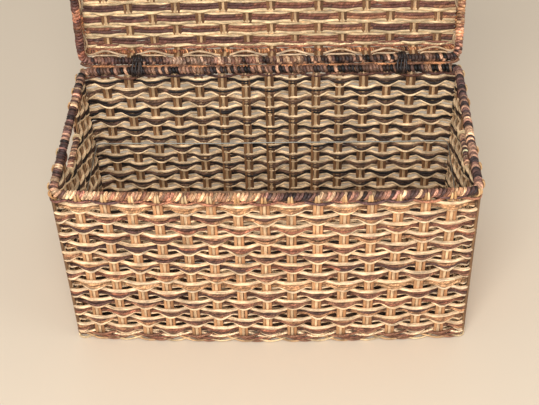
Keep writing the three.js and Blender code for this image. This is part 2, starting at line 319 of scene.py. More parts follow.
class Finish:
    """One material, whose nodes come from one method."""

    def __init__(self, name):
        self.material = bpy.data.materials.new(name)
        self.material.use_nodes = True
        self.tree = self.material.node_tree
        self.shader = self.tree.nodes["Principled BSDF"]

    def node(self, kind, settings=None, values=None, output=0):
        made = self.tree.nodes.new(kind)
        for key, setting in (settings or {}).items():
            if key == "stops":
                ramp = made.color_ramp
                while len(ramp.elements) < len(setting):
                    ramp.elements.new(0.5)
                for element, (position, colour) in zip(ramp.elements, setting):
                    element.position = position
                    element.color = (*colour, 1)
            else:
                setattr(made, key, setting)
        for key, value in (values or {}).items():
            if isinstance(value, Value):
                self.tree.links.new(value.socket, made.inputs[key])
            else:
                made.inputs[key].default_value = value
        return Value(self, made.outputs[output])

    def feed(self, socket, value):
        if isinstance(value, Value):
            self.tree.links.new(value.socket, self.shader.inputs[socket])
        else:
            self.shader.inputs[socket].default_value = value

    def stretched(self, vector, scales):
        return self.node("ShaderNodeVectorMath", {"operation": "MULTIPLY"}, {0: vector, 1: scales})

    def noise(self, vector, scale=1.0, detail=2.0):
        return self.node("ShaderNodeTexNoise", {"noise_dimensions": "3D"},
                         {"Vector": vector, "Scale": scale, "Detail": detail, "Roughness": 0.55})

    def ramp(self, value, *stops):
        return self.node("ShaderNodeMapRange", {"interpolation_type": "SMOOTHSTEP"},
                         {"Value": value, "From Min": stops[0], "From Max": stops[1],
                          "To Min": stops[2], "To Max": stops[3]})

    def shade(self, colour, level):
        """A colour made lighter or darker by a value about one."""
        grey = self.node("ShaderNodeCombineXYZ", {}, {0: level, 1: level, 2: level})
        return self.node("ShaderNodeVectorMath", {"operation": "MULTIPLY"}, {0: colour, 1: grey})

    def two_tones(self, value, dark, light):
        """A colour that goes from dark to light as a value passes one half."""
        stops = ((0.3, tone(*dark)), (0.7, tone(*light)))
        return self.node("ShaderNodeValToRGB", {"stops": stops}, {"Fac": value})

    def bump(self, height, strength, distance):
        return self.node("ShaderNodeBump", {},
                         {"Height": height, "Strength": strength, "Distance": distance})


# Marks in a metre of grain, along a strand and twice across it
LINES_ALONG = 30
BLOTCHES = (55, 90, 90)
FLECKS = (210, 420, 420)
SPARKS = (330, 620, 620)


def fibre_finish(name, contrast, rough, lines_across, bump_depth, streak, flash=0.2):
    """Plant fibre: the strand's own tint with streaks along its grain, dark flecks and light sparks."""
    finish = Finish(name)
    tint = finish.node("ShaderNodeAttribute", {"attribute_name": "tint"})
    grain = finish.node("ShaderNodeAttribute", {"attribute_name": "grain"}, output=1)
    lines = finish.noise(finish.stretched(grain, (LINES_ALONG, lines_across, lines_across)), detail=3.0)
    blotch = finish.noise(finish.stretched(grain, BLOTCHES))
    fleck = finish.noise(finish.stretched(grain, FLECKS))
    spark = finish.noise(finish.stretched(grain, SPARKS), detail=1.0)
    leaf = finish.node("ShaderNodeAttribute", {"attribute_name": "tint"}, output=3)
    mottle = (finish.ramp(fleck, 0.28, 0.5, 1 - 1.5 * streak, 1.0)
              * finish.ramp(spark, 0.5, 0.64, 1.0, 1 + flash))
    level = (finish.ramp(lines, 0.3, 0.7, 1 - contrast, 1 + contrast)
             * finish.ramp(blotch, 0.25, 0.75, 1 - streak, 1 + streak)
             * (1.0 + leaf * (mottle - 1.0)))
    finish.feed("Base Color", finish.shade(tint, level))
    finish.feed("Roughness", finish.ramp(lines, 0.3, 0.7, rough + 0.1, rough - 0.08))
    finish.feed("Normal", finish.bump(lines + fleck * 0.4, 0.7, bump_depth))
    finish.shader.inputs["Specular IOR Level"].default_value = 0.35
    return finish.material


def make_wire_finish():
    finish = Finish("dull_wire")
    place = finish.node("ShaderNodeTexCoord", output=3)
    marks = finish.noise(place, 240.0, 3.0)
    finish.feed("Base Color", finish.two_tones(marks, (150, 148, 138), (196, 194, 184)))
    finish.feed("Roughness", finish.ramp(marks, 0.3, 0.7, 0.38, 0.6))
    finish.shader.inputs["Metallic"].default_value = 0.75
    return finish.material


def make_plain_cane_finish():
    """The round canes and slabs inside the weave, which hardly show."""
    finish = Finish("core_cane")
    place = finish.node("ShaderNodeTexCoord", output=3)
    lines = finish.noise(finish.stretched(place, (160, 160, 20)), detail=3.0)
    finish.feed("Base Color", finish.two_tones(lines, (92, 66, 46), (150, 112, 76)))
    finish.feed("Roughness", finish.ramp(lines, 0.3, 0.7, 0.7, 0.55))
    return finish.material


FINISHES = {}


def finish_of(name):
    """A finish by name; all are made the first time that one is wanted."""
    if not FINISHES:
        FINISHES.update({
            "weave": fibre_finish("leaf_and_rattan", 0.5, 0.62, 800, 0.0009, 0.34, 0.9),
            "cane": fibre_finish("flat_cane", 0.3, 0.5, 700, 0.0004, 0.2),
            "rope": fibre_finish("wound_leaf", 0.5, 0.45, 800, 0.0012, 0.36, 1.0),
            "lashing": fibre_finish("dark_lashing", 0.3, 0.34, 700, 0.0004, 0.2),
            "wire": make_wire_finish(),
            "core": make_plain_cane_finish(),
        })
    return FINISHES[name]


# Settings

def size_setting(label, about, millimetres):
    return bpy.props.FloatProperty(name=label, description=about, default=millimetres * MM, min=0, max=2,
                                   subtype="DISTANCE", unit="LENGTH", precision=5)


def colour_setting(label, about, *levels):
    return bpy.props.FloatVectorProperty(name=label, description=about, default=tuple(tone(*levels)),
                                         size=3, min=0, max=1, subtype="COLOR")


class WeaveSettings(bpy.types.PropertyGroup):
    row_pitch: size_setting("Row pitch", "Height of one row of four strands", 24.74)
    first_row: size_setting("First row", "From the top of the rim down to the middle of the first row", 36.0)
    wave: size_setting("Wave", "How far a row stands out from the stakes it passes", 5.3)
    corner: size_setting("Corner", "Radius that the rows turn at a corner", 10.0)
    bow_front: size_setting("Front bow", "How far the front bulges at its middle", 12.0)
    bow_back: size_setting("Back bow", "How far the back is drawn in at its middle", 3.0)
    station: size_setting("Station", "Length between two rings of a strand", 4.0)
    thick_rattan: size_setting("Upper rattan", "Radius of the pale strand above", 3.5)
    leaf: size_setting("Leaf", "Radius of the two twisted leaf strands", 3.1)
    sag: size_setting("Sag", "How far a row dips at each stake it passes", 4.4)
    thin_rattan: size_setting("Lower rattan", "Radius of the pale strand below", 2.35)
    rattan: colour_setting("Rattan", "Pale split rattan on the outside", 238, 204, 164)
    # The inside rattan is a little darker than the outside one: painted shade of the inside.
    rattan_inside: colour_setting("Rattan inside", "Pale split rattan on the inside", 232, 200, 158)


class RimSettings(bpy.types.PropertyGroup):
    wrap_pitch: size_setting("Wrap pitch", "From one turn of the wrapping to the next", 7.0)
    wrap: size_setting("Wrap", "Radius of the wrapping strand", 3.45)
    corner: size_setting("Corner", "Radius of the rim's middle line at a corner", 16.0)
    tie: size_setting("Tie", "Radius of each finger of a stake's tie", 3.1)


class StageSettings(bpy.types.PropertyGroup):
    floor: colour_setting("Floor", "Colour of the plain floor", 232, 215, 192)
    key: bpy.props.FloatProperty(name="Key light", description="Power of the large light in front",
                                 default=88, min=0, unit="POWER")
    fill: bpy.props.FloatProperty(name="Fill light", description="Power of the light on the right",
                                  default=11, min=0, unit="POWER")
    sky: bpy.props.FloatProperty(name="Sky", description="Strength of the even light all round",
                                 default=0.48, min=0)


LEAF_OUTSIDE = [tone(*c) for c in ((142, 98, 74), (116, 76, 58), (158, 112, 80), (98, 66, 55), (134, 86, 66),
                                   (170, 122, 86), (116, 80, 62), (86, 58, 50), (150, 94, 70))]
LEAF_TAN = [tone(*c) for c in ((186, 138, 96), (174, 126, 90), (196, 150, 108))]
# The leaf's colours on the inside of the box, darker than outside: partly the leaf's own back, partly painted
# shade of the inside.
LEAF_INSIDE_SHADED = [tone(*c) for c in ((70, 51, 41), (44, 34, 30), (96, 70, 54), (30, 25, 24), (60, 44, 37),
                                  (112, 84, 64), (36, 29, 27), (82, 59, 47))]
LEAF_LENGTH = 0.34  # of one leaf in a strand, about
LEAF_LENGTH_INSIDE = 0.4
LEAF_TWIST = 360  # radians of grain in a metre of strand
STRAND_OFFSETS = (10.9 * MM, 3.7 * MM, -3.2 * MM, -9.9 * MM)  # from the middle of a row, at a stake
# The share of those offsets that is left midway between two stakes
PINCH_FRONT = 0.66
PINCH_BEHIND = 0.68  # at the ends and the back
PINCH_PANEL = 0.88  # in the base and the lid's panel
TAN_ROWS = (1, 9)  # counted down from the rim
ENDS = ("left", "right")


def patchwork(rng, places, choices, length):
    """Colours along a strand that change where one leaf is spliced to the next."""
    colours = np.empty((len(places), 3))
    begin = places.min() - rng.uniform(0, length)
    previous = -1
    while begin < places.max():
        end = begin + rng.uniform(0.5, 1.5) * length
        pick = int(rng.integers(len(choices)))
        pick = (pick + 1) % len(choices) if pick == previous else pick
        colours[(places >= begin) & (places <= end)] = choices[pick]
        previous, begin = pick, end
    return colours


def weave_ring(weave):
    return Ring(HALF_X, HALF_Y, weave.corner, weave.bow_front, weave.bow_back)


def rim_ring(weave, rim):
    return Ring(HALF_X, HALF_Y, rim.corner, weave.bow_front, weave.bow_back)


def counted(ring, s):
    """Stakes passed at each distance, and the gap between the two stakes on either side."""
    stakes = ring.stakes()
    passed = np.interp(s, stakes, np.arange(len(stakes)))
    gaps = np.diff(stakes)
    middles = (stakes[1:] + stakes[:-1]) / 2
    return passed, np.interp(s, middles, gaps)


def level_facing(outward):
    """Directions in plan as (x, y, 0)."""
    return np.c_[outward, np.zeros(len(outward))]


def row_of_four(weave, ring, s, row, height, rng, tan=False, spread=1.0):
    """The four strands of one row all round: a pale one, two of leaf and a thin pale one."""
    plan, outward = ring.place(s)
    passed, gap = counted(ring, s)
    wave = np.cos(math.pi * (passed - row))
    reach = weave.wave * np.clip(gap / (40 * MM), 0.5, 1)
    near = np.abs(wave)  # 1 at a stake and 0 midway
    tight = np.where(plan[:, 1] < -HALF_Y * 0.9, PINCH_FRONT, PINCH_BEHIND)
    pinch = tight + (1 - tight) * near ** 2
    aside = 1.3 * MM * (1 - near)
    radii = (weave.thick_rattan, weave.leaf, weave.leaf, weave.thin_rattan)
    strands = []
    for k, (offset, radius) in enumerate(zip(STRAND_OFFSETS, radii)):
        pale = k in (0, 3)
        lift = wander(rng, s, 28 * MM) * (1.2 if pale else 0.8) * MM + wander(rng, s, 150 * MM) * 1.3 * MM
        if k == 3:
            lift = lift - 1.8 * MM * np.clip(wander(rng, s, 60 * MM), 0, 1) * ease(0.6, 1, near)
        z = height + offset * spread * pinch + lift - weave.sag * (near - 0.5) * (1 + 0.12 * (k - 1.5))
        depth = reach * wave + aside * (1 if k in (0, 2) else -1) + wander(rng, s, 20 * MM) * 0.4 * MM
        centre = np.c_[plan + outward * depth[:, None], z]
        light = 1 + 0.12 * wander(rng, s, 120 * MM) + (0.1 if pale else 0.36) * wander(rng, s, 8 * MM)
        if pale:
            warm = 1 + np.array([0.02, -0.03, -0.09]) * wander(rng, s, 90 * MM)[:, None]
            outer = np.array(weave.rattan) * light[:, None] * warm
            inner = np.array(weave.rattan_inside) * light[:, None]
        else:
            # Painted shade: a leaf strand is darkened on its outer side where it passes behind a stake, and
            # on its inner side where it passes in front of one.
            stake_shade_outer = 1 - 0.45 * ease(0.1, -0.5, wave)
            stake_shade_inner = 1 - 0.45 * ease(-0.1, 0.5, wave)
            outer = patchwork(rng, s, LEAF_TAN if tan else LEAF_OUTSIDE, LEAF_LENGTH)
            outer = outer * (light * stake_shade_outer)[:, None]
            inner = patchwork(rng, s, LEAF_INSIDE_SHADED, LEAF_LENGTH_INSIDE) * (light * stake_shade_inner)[:, None]
        thick = radius * (1 + (0.07 if pale else 0.17) * wander(rng, s, 8 * MM)) * (0.92 + 0.08 * near)
        strands.append(Strand(centre, thick, outer, inner, level_facing(outward), 0 if pale else LEAF_TWIST))
    return strands


def part_of(strand, keep):
    """The stretches of a strand where keep holds, but for those of three stations or fewer."""
    edges = np.flatnonzero(np.diff(np.r_[0, keep.astype(int), 0]))
    cut = []
    for begin, end in zip(edges[::2], edges[1::2]):
        if end - begin > 3:
            cut.append(strand.part(slice(begin, end)))
    return cut


def side_span(ring, side, s):
    begin, end = ring.corner_at(SIDES.index(side)), ring.corner_at(SIDES.index(side) + 1)
    return (s >= begin - 1e-6) & (s <= end + 1e-6)


def stations(ring, step):
    """Distances round a ring, with one station exactly on each corner."""
    stops = [ring.corner_at(i) for i in range(5)]
    runs = [np.linspace(a, b, int(round((b - a) / step)), endpoint=False)
            for a, b in zip(stops, stops[1:])]
    return np.r_[np.concatenate(runs), ring.length]


def make_walls(weave):
    """Rows all round, left open above each hand-hold and drawn down a little below it."""
    ring = weave_ring(weave)
    s = stations(ring, weave.station)
    rng = np.random.default_rng(11)
    rim_top = RIM_Z + ROPE_R
    count = int((rim_top - weave.first_row - BASE_TOP) / weave.row_pitch) + 1
    walls = {side: [] for side in SIDES}
    plan, _ = ring.place(s)
    from_middle = np.abs(plan[:, 1])
    over_hand = from_middle < HAND_HALF + 3 * MM
    for row in range(1, count + 1):
        height = rim_top - weave.first_row - (row - 1) * weave.row_pitch
        strands = row_of_four(weave, ring, s, row, height, rng, row in TAN_ROWS, 0.9 if row == 1 else 1)
        dip = np.maximum(0, height + 20 * MM - BAR_Z) * (1 - ease(0.8, 1.3, from_middle / HAND_HALF))
        lowered = [strand.part(shift=np.c_[0 * dip, 0 * dip, -0.6 * dip]) for strand in strands]
        for side in SIDES:
            span = side_span(ring, side, s)
            if side in ENDS and height + 8 * MM > BAR_Z:
                span = span & ~over_hand
                walls[side] += [cut.blunt() for strand in strands for cut in part_of(strand, span)]
            else:
                rows = lowered if side in ENDS else strands
                walls[side] += [cut for strand in rows for cut in part_of(strand, span)]
    for side in SIDES:
        bundle(side + "_weave", walls[side], 8, finish_of("weave"), "body", [side + "_wall"], 3)


def bow_at(weave, x, front):
    """How far the front, or the back, stands out from straight; the back is drawn in."""
    fall = 1 - np.clip(np.asarray(x) / HALF_X, -1, 1) ** 2
    return weave.bow_front * fall if front else -weave.bow_back * fall


CANE_COLOURS = [tone(*c) for c in ((204, 154, 110), (230, 194, 152), (192, 140, 98))]
# Colours of the canes' faces towards the inside of the box, darker as painted shade.
CANE_INSIDE_SHADED = [tone(*c) for c in ((136, 98, 66), (206, 170, 128), (110, 78, 54))]
CANE_HALF = 3.15 * MM  # half the width of one cane
CANE_SPACING = 6.2 * MM
CANE_TURN = 5 * MM  # the radius at the foot of a stake


def u_route(near, far, low, top):
    """A U in one plane, as (across, up) and the outward direction at each point."""
    points, outward = [], []
    turn = CANE_TURN

    def run(a, b, out):
        steps = max(int(np.linalg.norm(np.subtract(b, a)) / (11 * MM)), 1)
        for t in np.linspace(0, 1, steps, endpoint=False):
            points.append(np.array(a) * (1 - t) + np.array(b) * t)
            outward.append(out)

    def bend(cx, cy, from_deg, to_deg):
        for angle in np.radians(np.linspace(from_deg, to_deg, 5, endpoint=False)):
            direction = (math.cos(angle), math.sin(angle))
            points.append(np.array([cx, cy]) + turn * np.array(direction))
            outward.append(direction)

    run((near, top), (near, low + turn), (-1, 0))
    bend(near + turn, low + turn, 180, 270)
    run((near + turn, low), (far - turn, low), (0, -1))
    bend(far - turn, low + turn, 270, 360)
    run((far, low + turn), (far, top), (1, 0))
    points.append(np.array([far, top]))
    outward.append((1, 0))
    return np.array(points), np.array(outward)


def three_canes(route, lay, rng, lean=0.0, top=1.0):
    """Three flat canes side by side on a route; lay puts (across, up, along) in place."""
    points, outward = route
    canes = []
    for k, (outer, inner) in enumerate(zip(CANE_COLOURS, CANE_INSIDE_SHADED)):
        walked = np.r_[0, np.cumsum(np.linalg.norm(np.diff(points, axis=0), axis=1))]
        side = (k - 1) * CANE_SPACING + 0.5 * MM * wander(rng, walked, 60 * MM)
        side = side - lean * (1 - points[:, 1] / top)
        light = rng.uniform(0.86, 1.12) * (1 + 0.1 * wander(rng, walked, 70 * MM))[:, None]
        centre = lay(points[:, 0], points[:, 1], side)
        direction = lay(outward[:, 0], outward[:, 1], np.zeros(len(outward)), True)
        radius = CANE_HALF * (1 + 0.05 * wander(rng, walked, 40 * MM))
        cane = Strand(centre, radius, outer * light, inner * light, direction, flat=0.5)
        canes.append(cane.blunt(0.6))
    return canes


def make_stakes(weave):
    rng = np.random.default_rng(21)
    top = RIM_Z - 6 * MM
    for i in range(CROSS_STAKES):
        x = (i - (CROSS_STAKES - 1) / 2) * STAKE_PITCH
        near = -HALF_Y - float(bow_at(weave, x, True))
        far = HALF_Y + float(bow_at(weave, x, False))

        def lay(across, up, aside, turning=False, x=x):
            return np.c_[aside if turning else x + aside, across, up]

        route = u_route(near, far, 9 * MM, top)
        canes = three_canes(route, lay, rng, rng.uniform(0.5, 5) * MM, top)
        bundle(f"cross_stake_canes_{i + 1}", canes, 8, finish_of("cane"), "body",
               [f"cross_stake_{i + 1}"], 30 + i)
    for i in range(LONG_STAKES):
        y = (i - (LONG_STAKES - 1) / 2) * STAKE_PITCH
        height = BAR_Z - 4 * MM if abs(y) < HAND_HALF else top

        def lay(across, up, aside, turning=False, y=y):
            return np.c_[across, aside if turning else y + aside, up]

        canes = three_canes(u_route(-HALF_X, HALF_X, 5.5 * MM, height), lay, rng)
        bundle(f"long_stake_canes_{i + 1}", canes, 8, finish_of("cane"), "body",
               [f"long_stake_{i + 1}"], 60 + i)


PANEL_MARGIN = 4 * MM  # at the front and the back of a flat panel


def flat_weave(weave, half_x, half_y, level, rng, row_pitch, facing, wave_scale, step, inside_colours,
               edge=None, skip=0.0, shift=0.0):
    """Rows along X woven over the stakes of a panel that lies at a level, facing up (1) or down (-1)."""
    depth_y = 2 * (half_y - PANEL_MARGIN)
    count = int(depth_y / row_pitch)
    x_all = np.linspace(-half_x, half_x, int(2 * half_x / step))
    passed = (x_all - shift) / STAKE_PITCH + (CROSS_STAKES - 1) / 2
    strands = []
    for row in range(count):
        y0 = half_y - PANEL_MARGIN - skip - (row + 0.5) * (depth_y - skip) / count
        wave = np.cos(math.pi * (passed - row)) * ease(0, 12 * MM, half_x - np.abs(x_all))
        near = np.abs(wave)
        pinch = PINCH_PANEL + (1 - PINCH_PANEL) * near ** 2
        radii = (weave.thick_rattan, weave.leaf, weave.leaf, weave.thin_rattan)
        for k, (offset, radius) in enumerate(zip(STRAND_OFFSETS, radii)):
            pale = k in (0, 3)
            y = y0 + offset * pinch * row_pitch / weave.row_pitch * 1.02
            y = y + wander(rng, x_all, 28 * MM) * 0.8 * MM
            if edge is not None:
                y = y - edge(x_all) * (0.5 - (y0 / half_y) / 2)
            depth = weave.wave * wave_scale * wave + 1.2 * MM * (1 - near) * (1 if k in (0, 2) else -1)
            centre = np.c_[x_all, y, level + depth]
            light = (1 + 0.12 * wander(rng, x_all, 120 * MM))[:, None]
            if pale:
                colours, back = np.array(inside_colours[0]), np.array(weave.rattan)
            else:
                colours = patchwork(rng, x_all, inside_colours[1], LEAF_LENGTH)
                back = patchwork(rng, x_all, LEAF_OUTSIDE, LEAF_LENGTH)
            thick = radius * (1 + 0.1 * wander(rng, x_all, 9 * MM)) * (0.92 + 0.08 * near)
            outer, inner = (colours, back) if facing > 0 else (back, colours)
            strand = Strand(centre, thick, outer * light, inner * light, UP, 0 if pale else LEAF_TWIST)
            strands.append(strand.blunt())
    return strands


def make_base(weave):
    rng = np.random.default_rng(41)
    # The base's upper face takes the inside colours, which are darker partly as painted shade of the inside.
    colours = (tuple(weave.rattan_inside), LEAF_INSIDE_SHADED)
    strands = flat_weave(weave, HALF_X - 5 * MM, HALF_Y - 3 * MM, 9.2 * MM, rng, weave.row_pitch, 1, 0.6,
                         6 * MM, colours)
    bundle("base_weave", strands, 6, finish_of("weave"), "body", ["base_panel"], 5)


# The thin strands at the very foot: by how many stakes each lags, and its colour
FOOT_SCALLOPS = ((0.0, (228, 198, 152)), (1.0, (206, 164, 118)), (0.55, (150, 104, 78)))


def make_border(weave):
    """Under the last row: three strands twined round the foot, and three thin scallops below them."""
    ring = weave_ring(weave)
    s = stations(ring, weave.station)
    plan, outward = ring.place(s)
    passed, _ = counted(ring, s)
    rng = np.random.default_rng(51)
    facing = level_facing(outward)
    strands = []
    # By how many stakes each lags, its height and radius in millimetres, and its colour
    twine = ((0.0, 17.0, 2.3, np.array(weave.rattan)), (1.0, 16.0, 2.6, LEAF_OUTSIDE[0]),
             (0.5, 11.5, 2.6, LEAF_OUTSIDE[4]))
    for lag, height, radius, colour in twine:
        wave = np.cos(math.pi * (passed + lag))
        lift = (height + 1.6 * np.sin(math.pi * (passed + lag)) + 0.8 * wander(rng, s, 30 * MM)) * MM
        centre = np.c_[plan + outward * (5.4 * MM * wave)[:, None], lift]
        thick = radius * MM * (1 + 0.1 * wander(rng, s, 10 * MM))
        outer = colour * (1 + 0.15 * wander(rng, s, 60 * MM))[:, None]
        # The side facing into the box is darker: painted shade.
        strands.append(Strand(centre, thick, outer, colour * 0.5, facing, twist=140))
    for lag, levels in FOOT_SCALLOPS:
        colour = tone(*levels)
        sweep = np.cos(math.pi * (passed + lag))
        lift = (6.4 - 2.6 * sweep + 0.7 * wander(rng, s, 40 * MM)) * MM
        centre = np.c_[plan + outward * ((1.5 + 4.4 * sweep) * MM)[:, None], lift]
        thick = 1.9 * MM * (1 + 0.08 * wander(rng, s, 10 * MM))
        outer = colour * (1 + 0.14 * wander(rng, s, 60 * MM))[:, None]
        # The side facing into the box is darker: painted shade.
        strands.append(Strand(centre, thick, outer, colour * 0.6, facing))
    for side in SIDES:
        span = side_span(ring, side, s)
        cut = [piece for strand in strands for piece in part_of(strand, span)]
        bundle(side + "_foot_twining", cut, 8, finish_of("weave"), "body",
               [side + "_foot_border"], 6)


# The rims, wound round a cane hoop

COIL_LEAN = 3.4 * MM  # how far the top and the bottom of each turn lean along the rim
COIL_SWELL = 0.11  # how far its radius wanders, as a share of it


def wound(route, normals, core, wrap, pitch, colour_at, rng, per_turn=14):
    """One strand wound round a level route, as a coil of that core radius, coloured turn by turn."""
    steps = np.r_[0, np.cumsum(np.linalg.norm(np.diff(route, axis=0), axis=1))]
    turns = steps[-1] / pitch
    t = np.linspace(0, turns, int(turns * per_turn) + 1)
    along = t * pitch
    middle = np.stack([np.interp(along, steps, route[:, k]) for k in range(3)], 1)
    out = np.stack([np.interp(along, steps, normals[:, k]) for k in range(3)], 1)
    out /= np.linalg.norm(out, axis=1)[:, None]
    high = np.broadcast_to(np.array(UP, float), out.shape)
    swell = 1 + COIL_SWELL * wander(rng, t, 0.7)
    angle = 2 * math.pi * t
    arm = np.cos(angle)[:, None] * out + np.sin(angle)[:, None] * high
    ahead = np.cross(out, high)
    slip = -COIL_LEAN * np.sin(angle) + 0.12 * pitch * wander(rng, t, 1.3)
    centre = middle + arm * (core * swell)[:, None] + ahead * slip[:, None]
    turn = np.floor(t + 0.25).astype(int)
    light = 0.96 * np.exp(rng.normal(0, 0.36, turn.max() + 2))[turn] * (1 + 0.3 * wander(rng, t, 0.3))
    colours = colour_at(middle, turn) * light[:, None]
    radius = wrap * (1 + 0.13 * wander(rng, t, 0.5))
    # Each turn is darker on the side that faces the core: painted shade.
    return Strand(centre, radius, np.clip(colours, 0, 1), np.clip(colours * 0.75, 0, 1), arm, twist=120)


def stops_colour(stops, rng):
    """Colours that change along a rim, from (place in millimetres, tones) stops: each turn takes one
    of its stretch's tones."""
    places = np.array([stop[0] for stop in stops]) * MM
    choices = [np.array([tone(*c) for c in stop[1]]) for stop in stops]

    def colour_at(coordinate, turn):
        stretch = np.clip(np.searchsorted(places, coordinate, side="right") - 1, 0, len(stops) - 1)
        picks = rng.integers(0, 60, turn.max() + 2)[turn]
        return np.array([choices[a][b % len(choices[a])] for a, b in zip(stretch, picks)])

    return colour_at


PINKISH = ((190, 136, 110), (168, 112, 92), (216, 178, 140), (132, 88, 76))
TAN_COIL = ((190, 142, 104), (174, 124, 92), (206, 164, 124), (146, 98, 76), (182, 136, 106))
GREY_COIL = ((176, 142, 118), (150, 118, 98), (196, 160, 130), (116, 86, 74), (140, 104, 86))
DARK_COIL = ((100, 70, 62), (78, 54, 50), (128, 90, 76), (168, 126, 102), (54, 40, 38))
MIXED_COIL = ((150, 106, 86), (190, 146, 114), (104, 72, 62), (216, 176, 138), (76, 54, 48))
BLACK_COIL = ((66, 50, 44), (40, 32, 31), (104, 76, 62), (176, 134, 106), (70, 50, 44), (24, 21, 21),
              (132, 96, 78))
RED_COIL = ((146, 92, 70), (120, 76, 62), (168, 112, 84), (96, 62, 54))
ROD_COIL = ((176, 116, 76), (150, 96, 66), (196, 142, 98), (126, 80, 60))

# For each side, the axis that it runs along and where its tones change on that axis
BODY_RIM = {
    "front": (0, ((-400, MIXED_COIL), (-345, PINKISH), (-300, TAN_COIL), (-5, DARK_COIL), (90, MIXED_COIL),
                  (320, TAN_COIL), (352, DARK_COIL))),
    "right": (1, ((-400, DARK_COIL), (-60, MIXED_COIL), (20, DARK_COIL))),
    "back": (0, ((-400, BLACK_COIL),)),
    "left": (1, ((-400, MIXED_COIL), (-110, DARK_COIL), (60, MIXED_COIL), (130, BLACK_COIL))),
}
LID_RIM = {
    "front": (0, ((-400, MIXED_COIL),)),
    "right": (1, ((-400, TAN_COIL), (150, MIXED_COIL))),
    "back": (0, ((-400, DARK_COIL), (-215, GREY_COIL), (-80, MIXED_COIL), (60, BLACK_COIL))),
    "left": (1, ((-400, RED_COIL),)),
}


def opened(points, direction=False):
    """Turns points of the shut lid to where they are with the lid open."""
    points = np.asarray(points, float)
    cos, sin = math.cos(LID_OPEN), math.sin(LID_OPEN)
    turn = np.array([[1, 0, 0], [0, cos, sin], [0, -sin, cos]])
    return points @ turn.T if direction else (points - HINGE_POS) @ turn.T + HINGE_POS


def opened_strand(strand):
    strand.centre = opened(strand.centre)
    strand.outward = opened(strand.outward, True)
    return strand


def make_rim(weave, rim, prefix, level, looks, seed):
    ring = rim_ring(weave, rim)
    s = stations(ring, 5 * MM)
    plan, outward = ring.place(s)
    rng = np.random.default_rng(seed)
    sag = 0.7 * MM * wander(rng, s, 90 * MM)
    is_lid = prefix == "lid"
    for side in SIDES:
        span = side_span(ring, side, s)
        axis, stops = looks[side]
        pick = stops_colour(stops, rng)
        route = np.c_[plan[span], (level + sag)[span]]
        strand = wound(route, level_facing(outward[span]), ROPE_R - rim.wrap, rim.wrap, rim.wrap_pitch,
                       lambda middle, turn, axis=axis, pick=pick: pick(middle[:, axis], turn), rng)
        node = f"{prefix}_rim_rope_{side}"
        bundle(f"{prefix}_rim_wrapping_{side}", [opened_strand(strand) if is_lid else strand], 8,
               finish_of("rope"), prefix, [node], seed)


UNDER_RIM_COLOURS = [tone(*c) for c in ((150, 98, 78), (128, 84, 74), (104, 74, 70), (172, 116, 88))]


def make_under_rim(weave):
    """Two twined strands that run in and out between the rim and the first row."""
    ring = weave_ring(weave)
    s = stations(ring, weave.station)
    plan, outward = ring.place(s)
    passed, _ = counted(ring, s)
    rng = np.random.default_rng(61)
    strands = []
    for lag, drop, radius in ((0.0, 13.3, 2.6), (1.0, 10.5, 2.3)):
        wave = np.cos(math.pi * (passed + lag))
        rise = 1.76 * np.sin(math.pi * (passed * 0.5 + lag)) + 1.1 * wander(rng, s, 36 * MM)
        centre = np.c_[plan + outward * ((0.6 + 6.0 * wave) * MM)[:, None], RIM_Z + (rise - drop) * MM]
        colours = patchwork(rng, s, UNDER_RIM_COLOURS, 0.2)
        thick = radius * MM * (1 + 0.14 * wander(rng, s, 10 * MM))
        # The side facing in under the rim is much darker: painted shade.
        strands.append(Strand(centre, thick, colours, colours * 0.35, level_facing(outward), twist=150))
    for side in SIDES:
        span = side_span(ring, side, s)
        if side in ENDS:
            span = span & (np.abs(plan[:, 1]) >= HAND_HALF)
        cut = [piece for strand in strands for piece in part_of(strand, span)]
        bundle(side + "_under_rim_twine", cut, 8, finish_of("weave"), "body", (), 7)


TIE_COLOURS = ((222, 178, 126), (206, 156, 106), (232, 196, 148))


def make_ties(weave, rim):
    """At each stake, two fingers of cane that lap up over the outside of the rim."""
    ring, weave_line = rim_ring(weave, rim), weave_ring(weave)
    scale = ring.length / weave_line.length
    rng = np.random.default_rng(71)
    by_side = {side: [] for side in SIDES}
    reach = ROPE_R + rim.tie * 0.55
    for place in weave_line.stakes()[:-1]:
        side = SIDES[[place < weave_line.corner_at(i + 1) - 1e-6 for i in range(4)].index(True)]
        plan, outward = ring.place(np.array([place * scale]))
        plan, outward = plan[0], outward[0]
        if side in ENDS and abs(plan[1]) < HAND_HALF:
            continue
        tangent = np.array([-outward[1], outward[0]])
        shift = rng.uniform(-2, 2) * MM
        for finger in (-1, 1):
            angles = np.radians(np.linspace(-88, rng.uniform(38, 62), 12))
            t = np.linspace(0, 1, 12)
            side_way = shift + finger * (3.3 - 1.2 * t) * MM * (1 + 0.2 * rng.uniform(-1, 1))
            out = reach * np.cos(angles)
            high = RIM_Z + reach * np.sin(angles)
            out = np.r_[5.6 * MM, out]
            high = np.r_[RIM_Z - reach - 5 * MM, high]
            side_way = np.r_[side_way[0], side_way]
            t = np.r_[0, t]
            centre = np.c_[plan + outward * out[:, None] + tangent * side_way[:, None], high]
            direction = np.c_[outward * np.cos(np.r_[0, angles])[:, None], np.sin(np.r_[0, angles])]
            colour = tone(*TIE_COLOURS[int(rng.integers(3))])
            radius = rim.tie * (1 - 0.45 * t ** 2)
            # The side that lies against the rim is darker: painted shade.
            tie = Strand(centre, radius, colour * rng.uniform(0.85, 1.08), colour * 0.6, direction, flat=0.7)
            by_side[side].append(tie.blunt(0.8))
    for side in SIDES:
        bundle(side + "_stake_ties", by_side[side], 8, finish_of("cane"), "body", (), 8)


